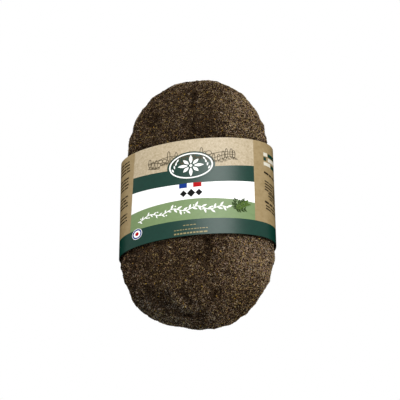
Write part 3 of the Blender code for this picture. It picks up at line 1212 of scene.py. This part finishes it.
ground = [stamped(disc, MEDALLION_S, MEDALLION_Y, *MEDALLION_SIZE)]
print_shapes("medallion_ground", ground, card_fields["dark_green"])
rosette = [stroke(oval(MEDALLION_S, MEDALLION_Y, *RING_HALVES), RING_WIDTH)]
for number in range(ROSETTE_LEAVES):
    turn = 2 * math.pi * number / ROSETTE_LEAVES
    s = MEDALLION_S + ROSETTE_HOLLOW * math.cos(turn) * ROSETTE_STRETCH
    y = MEDALLION_Y + ROSETTE_HOLLOW * math.sin(turn)
    rosette.append(stamped(leaf, s, y, ROSETTE_LENGTHS[number % 2], ROSETTE_WIDTH, turn))
rosette.append(stamped(disc, MEDALLION_S, MEDALLION_Y, HEART, HEART))
for side in (-1, 1):
    for aside, above, lean in SPRAY:
        s, y = MEDALLION_S + side * aside, MEDALLION_Y + above
        rosette.append(stamped(leaf, s, y, SPRAY_LENGTH, SPRAY_WIDTH, math.pi / 2 - side * lean))
print_shapes("medallion_white", rosette, ink("white_rosette_ink", "EFEFEA", "F6F6F4"), layer=3)

# %% Draw the tab and the lozenges
TAB_EDGES = (-6.6, -2.2, 1.2, 5.8)
TAB_Y = -1.05
TAB_HEIGHT = 2.8
LOZENGE_Y = -6.1
LOZENGES = ((-4.2, 3.9, 4.3), (0.1, 4.6, 5.2), (4.4, 3.9, 4.3))  # place round the card, length, height

tab_inks = (
    ("blue", ink("blue_ink", "0A2E76", "0D3482")),
    ("white", card_fields["white"]),
    ("red", ink("red_ink", "A00208", "AE060C")),
)
for left, right, (colour, material) in zip(TAB_EDGES, TAB_EDGES[1:], tab_inks):
    tab_block = stamped(block, (left + right) / 2, TAB_Y, right - left, TAB_HEIGHT)
    print_shapes(f"tab_{colour}", [tab_block], material)
lozenges = [stamped(lozenge, s, LOZENGE_Y, length, height) for s, length, height in LOZENGES]
print_shapes("lozenges", lozenges, ink("black_ink", "050505", "0B0B0B"))

# %% Draw the vine
VINE_FROM, VINE_TO = -31.0, 20.5
VINE_DROP = 6.0
VINE_WAVE = 13.5
VINE_SWING = 1.1
VINE_STEP = 0.8
VINE_WIDTH = 0.5
VINE_BARE = 1.0  # no leaf grows this near to an end
VINE_LEAF = (3.3, 1.15)  # length and width
VINE_LEAF_STEP = 1.7
VINE_LEAF_LEAN = 0.85
SMALL_LEAVES_TO = -12  # the vine's left end is young, and its leaves are smaller as far as this
SMALL_LEAF = 0.7
BERRY = 0.8
BERRY_ALONG, BERRY_ASIDE = 0.9, 1.5
BERRY_EVERY = 3  # each third leaf has a berry beside it


def vine(s):
    """The height of the vine's stem, following the arch."""
    return arch(s) - VINE_DROP + VINE_SWING * math.sin(2 * math.pi * s / VINE_WAVE)


white_vine = [stroke([(s, vine(s)) for s in np.arange(VINE_FROM, VINE_TO, VINE_STEP)], VINE_WIDTH)]
for number, s in enumerate(np.arange(VINE_FROM + VINE_BARE, VINE_TO - VINE_BARE, VINE_LEAF_STEP)):
    side = 1 if number % 2 else -1
    lean = math.atan2(vine(s + 0.5) - vine(s - 0.5), 1.0) + side * VINE_LEAF_LEAN
    size = SMALL_LEAF if s < SMALL_LEAVES_TO else 1.0
    white_vine.append(stamped(leaf, s, vine(s), VINE_LEAF[0] * size, VINE_LEAF[1] * size, lean))
    if number % BERRY_EVERY == 0:
        white_vine.append(stamped(disc, s + BERRY_ALONG, vine(s) - side * BERRY_ASIDE, BERRY, BERRY))
print_shapes("white_vine", white_vine, ink("white_vine_ink", "EFEFEA", "F6F6F4"))

# %% Draw the sprig
SPRIG_STEM_WIDTH = 0.35
SPRIG_LEAVES_AT = (0.1, 0.55)  # shares of the way along each length of a stem
SPRIG_LEAF_LEAN = 0.7
# Each stem of the sprig: its places, its leaves' length and width, and whether they are dark
SPRIG_STEMS = (
    (((25.0, -17.6), (23.5, -15.6), (23.4, -13.4), (24.6, -10.8)), 1.9, 0.65, True),
    (((24.6, -17.0), (25.6, -14.4), (27.2, -12.6), (29.4, -11.6)), 2.1, 0.75, True),
    (((24.6, -17.4), (26.8, -15.6), (29.0, -14.2), (31.0, -13.2)), 2.8, 1.0, False),
    (((24.4, -17.8), (27.0, -18.2), (30.0, -17.4)), 2.2, 0.8, True),
)
dark_sprig, pale_sprig = [], []
for stem, leaf_length, leaf_width, is_dark in SPRIG_STEMS:
    leaves = dark_sprig if is_dark else pale_sprig
    for start, end in zip(stem, stem[1:]):
        dark_sprig.append(stroke((start, end), SPRIG_STEM_WIDTH))
        lean = math.atan2(end[1] - start[1], end[0] - start[0])
        for share in SPRIG_LEAVES_AT:
            s = start[0] + share * (end[0] - start[0])
            y = start[1] + share * (end[1] - start[1])
            for side in (-1, 1):
                turn = lean + side * SPRIG_LEAF_LEAN
                leaves.append(stamped(leaf, s, y, leaf_length, leaf_width, turn))
print_shapes("sprig_dark", dark_sprig, ink("deep_leaf_ink", "263814", "30441C"), layer=2)
print_shapes("sprig_pale", pale_sprig, ink("leaf_ink", "455C26", "52692F"), layer=3)

# %% [markdown]
# ## The frieze, the seal and the fine rules
#
# Above the stripe runs a thin drawing in sepia ink: low hills with cypresses and round trees, drawn
# as outlines. A plain round seal sits at the left of the lower stripe with three golden rules in the
# middle. The sides carry groups of fine rules and a few plain blocks, where a pack has its small print.
# Every rule is broken into dashes of uneven length, so that no two rules look alike. The fine rules are
# drawn a little further apart than small print is, because closer ones would blur into a grey patch.

# %% Draw the frieze
FRIEZE_HALF = 25.0
FRIEZE_FOOT = 12.6
# Each line of hills: its height, and its waves' length and phase
HILLS = ((2.2, 17.0, 0.0), (4.0, 23.0, 2.0), (5.6, 31.0, 4.0))
HILL_SWING = 1.3
HILL_STEP = 0.8
HILL_SHAKE = 0.06  # the pen shakes a little
HILL_PEN, TREE_PEN, GRASS_PEN = 0.32, 0.34, 0.22
TREE_STEP = 2.3
TREE_STRAY = 0.6
TREES_INWARDS = 1.0  # how far from the frieze's end the first tree stands
CYPRESS_SHARE = 0.5
TREE_FEET = (0.3, 3.6)
TREE_POINTS = 20
TRUNK_FOOT, TRUNK_TOP = 0.3, 1.2  # how far a trunk reaches below and above the tree's foot
CYPRESS_HEIGHTS, CYPRESS_HALF, CYPRESS_LIFT = (4.2, 6.8), 0.75, 0.6
CROWN_HEIGHTS, CROWN_SQUASH, CROWN_LIFT = (2.4, 3.6), 2.3, 1.2
GRASS_LINES, GRASS_STEP, GRASS_FROM, GRASS_TO = 3, 0.5, 0.6, (1.2, 2.4)

draw = np.random.default_rng(5)  # for the frieze and all the rules after it
frieze = []
for height, wave, phase in HILLS:
    line = []
    for s in np.arange(-FRIEZE_HALF, FRIEZE_HALF, HILL_STEP):
        swing = HILL_SWING * math.sin(2 * math.pi * s / wave + phase)
        line.append((s, FRIEZE_FOOT + height + swing + draw.normal(0, HILL_SHAKE)))
    frieze.append(stroke(line, HILL_PEN))
for s in np.arange(-FRIEZE_HALF + TREES_INWARDS, FRIEZE_HALF, TREE_STEP):
    s += draw.uniform(-TREE_STRAY, TREE_STRAY)
    foot = FRIEZE_FOOT + draw.uniform(*TREE_FEET)
    if draw.random() < CYPRESS_SHARE:
        height = draw.uniform(*CYPRESS_HEIGHTS)
        halves, lift = (CYPRESS_HALF, height / 2), CYPRESS_LIFT
    else:
        height = draw.uniform(*CROWN_HEIGHTS)
        halves, lift = (height / 2, height / CROWN_SQUASH), CROWN_LIFT
    frieze.append(stroke(oval(s, foot + height / 2 + lift, *halves, TREE_POINTS), TREE_PEN))
    frieze.append(stroke(((s, foot - TRUNK_FOOT), (s, foot + TRUNK_TOP)), TREE_PEN))
    for number in range(GRASS_LINES):
        y = foot - TRUNK_FOOT + GRASS_STEP * number
        frieze.append(stroke(((s + GRASS_FROM, y), (s + draw.uniform(*GRASS_TO), y)), GRASS_PEN))
print_shapes("frieze", frieze, ink("sepia_ink", "484030", "564D3A"))

# %% Draw the seal
SEAL_S, SEAL_Y = -31.6, -25.1
SEAL, SEAL_RING, SEAL_RING_WIDTH, SEAL_HEART = 6.6, 2.6, 0.8, 2.3  # the ring's size is its half width
SEAL_POINTS = 40

blue_ink, red_ink = tab_inks[0][1], tab_inks[2][1]
print_shapes("seal_white", [stamped(disc, SEAL_S, SEAL_Y, SEAL, SEAL)], card_fields["white"])
ring = stroke(oval(SEAL_S, SEAL_Y, SEAL_RING, SEAL_RING, SEAL_POINTS), SEAL_RING_WIDTH)
print_shapes("seal_blue", [ring], blue_ink, layer=2)
print_shapes("seal_red", [stamped(disc, SEAL_S, SEAL_Y, SEAL_HEART, SEAL_HEART)], red_ink, layer=2)

# %% Draw the golden rules
DASH_GAP = 0.5
# Each golden rule: first and last place round the card, row, width, and how short and long its dashes are
GOLD_RULES = (
    (-4.4, 3.2, -26.3, 0.5, (0.7, 1.5)), (-9.4, 9.2, -28.9, 0.5, (0.7, 1.5)),
    (-9.4, 9.1, -31.2, 0.9, (1.0, 2.0)),
)


def rule(first, last, y, width, lengths, slant=0.0):
    """A printed rule, broken into dashes whose lengths are drawn evenly between two."""
    strokes = []
    s = first
    while s < last - DASH_GAP:
        end = min(s + draw.uniform(*lengths), last)
        places = ((s, y + slant * (s - first)), (end, y + slant * (end - first)))
        strokes.append(stroke(places, width))
        s = end + DASH_GAP
    return strokes


gold_rules = []
for first, last, y, width, lengths in GOLD_RULES:
    gold_rules += rule(first, last, y, width, lengths)
print_shapes("gold_rules", gold_rules, ink("gold_ink", "82784F", "94885C", roughness=0.35, specular=0.25))

# %% Draw the side panels' rules
SIDE_SLANT = -0.25
SIDE_RULE_WIDTH = 0.8
SIDE_DASHES = (2.2, 6.5)
RAGGED = 0.9  # the rules of a group end at up to so much apart
HEAD_RULE_WIDTH = 1.2
HEAD_DASHES = (1.2, 3.2)
HEAD_FROM, HEAD_TO = 41.4, 50.0
# Groups of rules: first and last place round the card, top and foot row, step and slant
SIDE_GROUPS = (
    (-46.8, -37.2, 24.8, 18.5, 2.05, 0.0), (-46.6, -38.2, 14.2, 8.0, 2.05, 0.0),
    (-46.6, -38.7, 2.5, -3.8, 2.05, 0.0), (-46.4, -39.1, -9.0, -14.0, 2.05, 0.0),
    (41.6, 51.5, 3.6, -2.0, 1.8, SIDE_SLANT), (44.0, 51.5, -3.7, -5.6, 1.8, SIDE_SLANT),
    (44.8, 51.5, -7.3, -8.0, 1.8, SIDE_SLANT), (42.0, 51.5, -12.2, -15.0, 1.8, SIDE_SLANT),
)
HEAD_ROWS = (9.2, -9.8)
fine_rules = []
for first, last, top, foot, step, slant in SIDE_GROUPS:
    for y in np.arange(top, foot, -step):
        end = last - draw.uniform(0.0, RAGGED)
        fine_rules += rule(first, end, y, SIDE_RULE_WIDTH, SIDE_DASHES, slant)
for y in HEAD_ROWS:
    fine_rules += rule(HEAD_FROM, HEAD_TO, y, HEAD_RULE_WIDTH, HEAD_DASHES, SIDE_SLANT)
print_shapes("fine_rules", fine_rules, ink("brown_black_ink", "1B140C", "241C12"))

# %% Draw the side panel's blocks
# Each block's place and length. All are of one height
BLOCK_HEIGHT = 2.3
GREEN_BLOCKS = ((47.4, 21.1, 5.8), (42.2, 18.1, 1.8), (48.8, 14.4, 4.2))
WHITE_BLOCKS = ((42.7, 21.1, 2.7), (47.2, 18.1, 5.6), (43.8, 14.9, 4.9))
green_blocks = [stamped(block, s, y, length, BLOCK_HEIGHT) for s, y, length in GREEN_BLOCKS]
white_blocks = [stamped(block, s, y, length, BLOCK_HEIGHT) for s, y, length in WHITE_BLOCKS]
print_shapes("side_blocks_green", green_blocks, card_fields["dark_green"])
print_shapes("side_blocks_white", white_blocks, ink("pale_block_ink", "C4BFAE", "D6D2C3"))

# %% [markdown]
# ## Clear the table and measure the size
#
# The patterns that the copies were taken from are no part of the object. They could stay hidden, but
# removing them keeps the file clean. The box round the finished model is set beside the packed
# model's, because looks never change a size.

# %% Remove the patterns and measure the sizes
for pattern in (thyme, oregano, marjoram, basil, stalk, savory, disc, lozenge, leaf, block):
    bpy.data.objects.remove(pattern, do_unlink=True)
bpy.ops.object.select_all(action="DESELECT")
triangle_count = 0
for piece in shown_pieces():
    piece.data.calc_loop_triangles()
    triangle_count += len(piece.data.loop_triangles)
print("the whole object has", triangle_count, "triangles")

visual_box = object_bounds()
sizes = {"cad": [list(corner) for corner in cad_box], "visual": [list(corner) for corner in visual_box]}
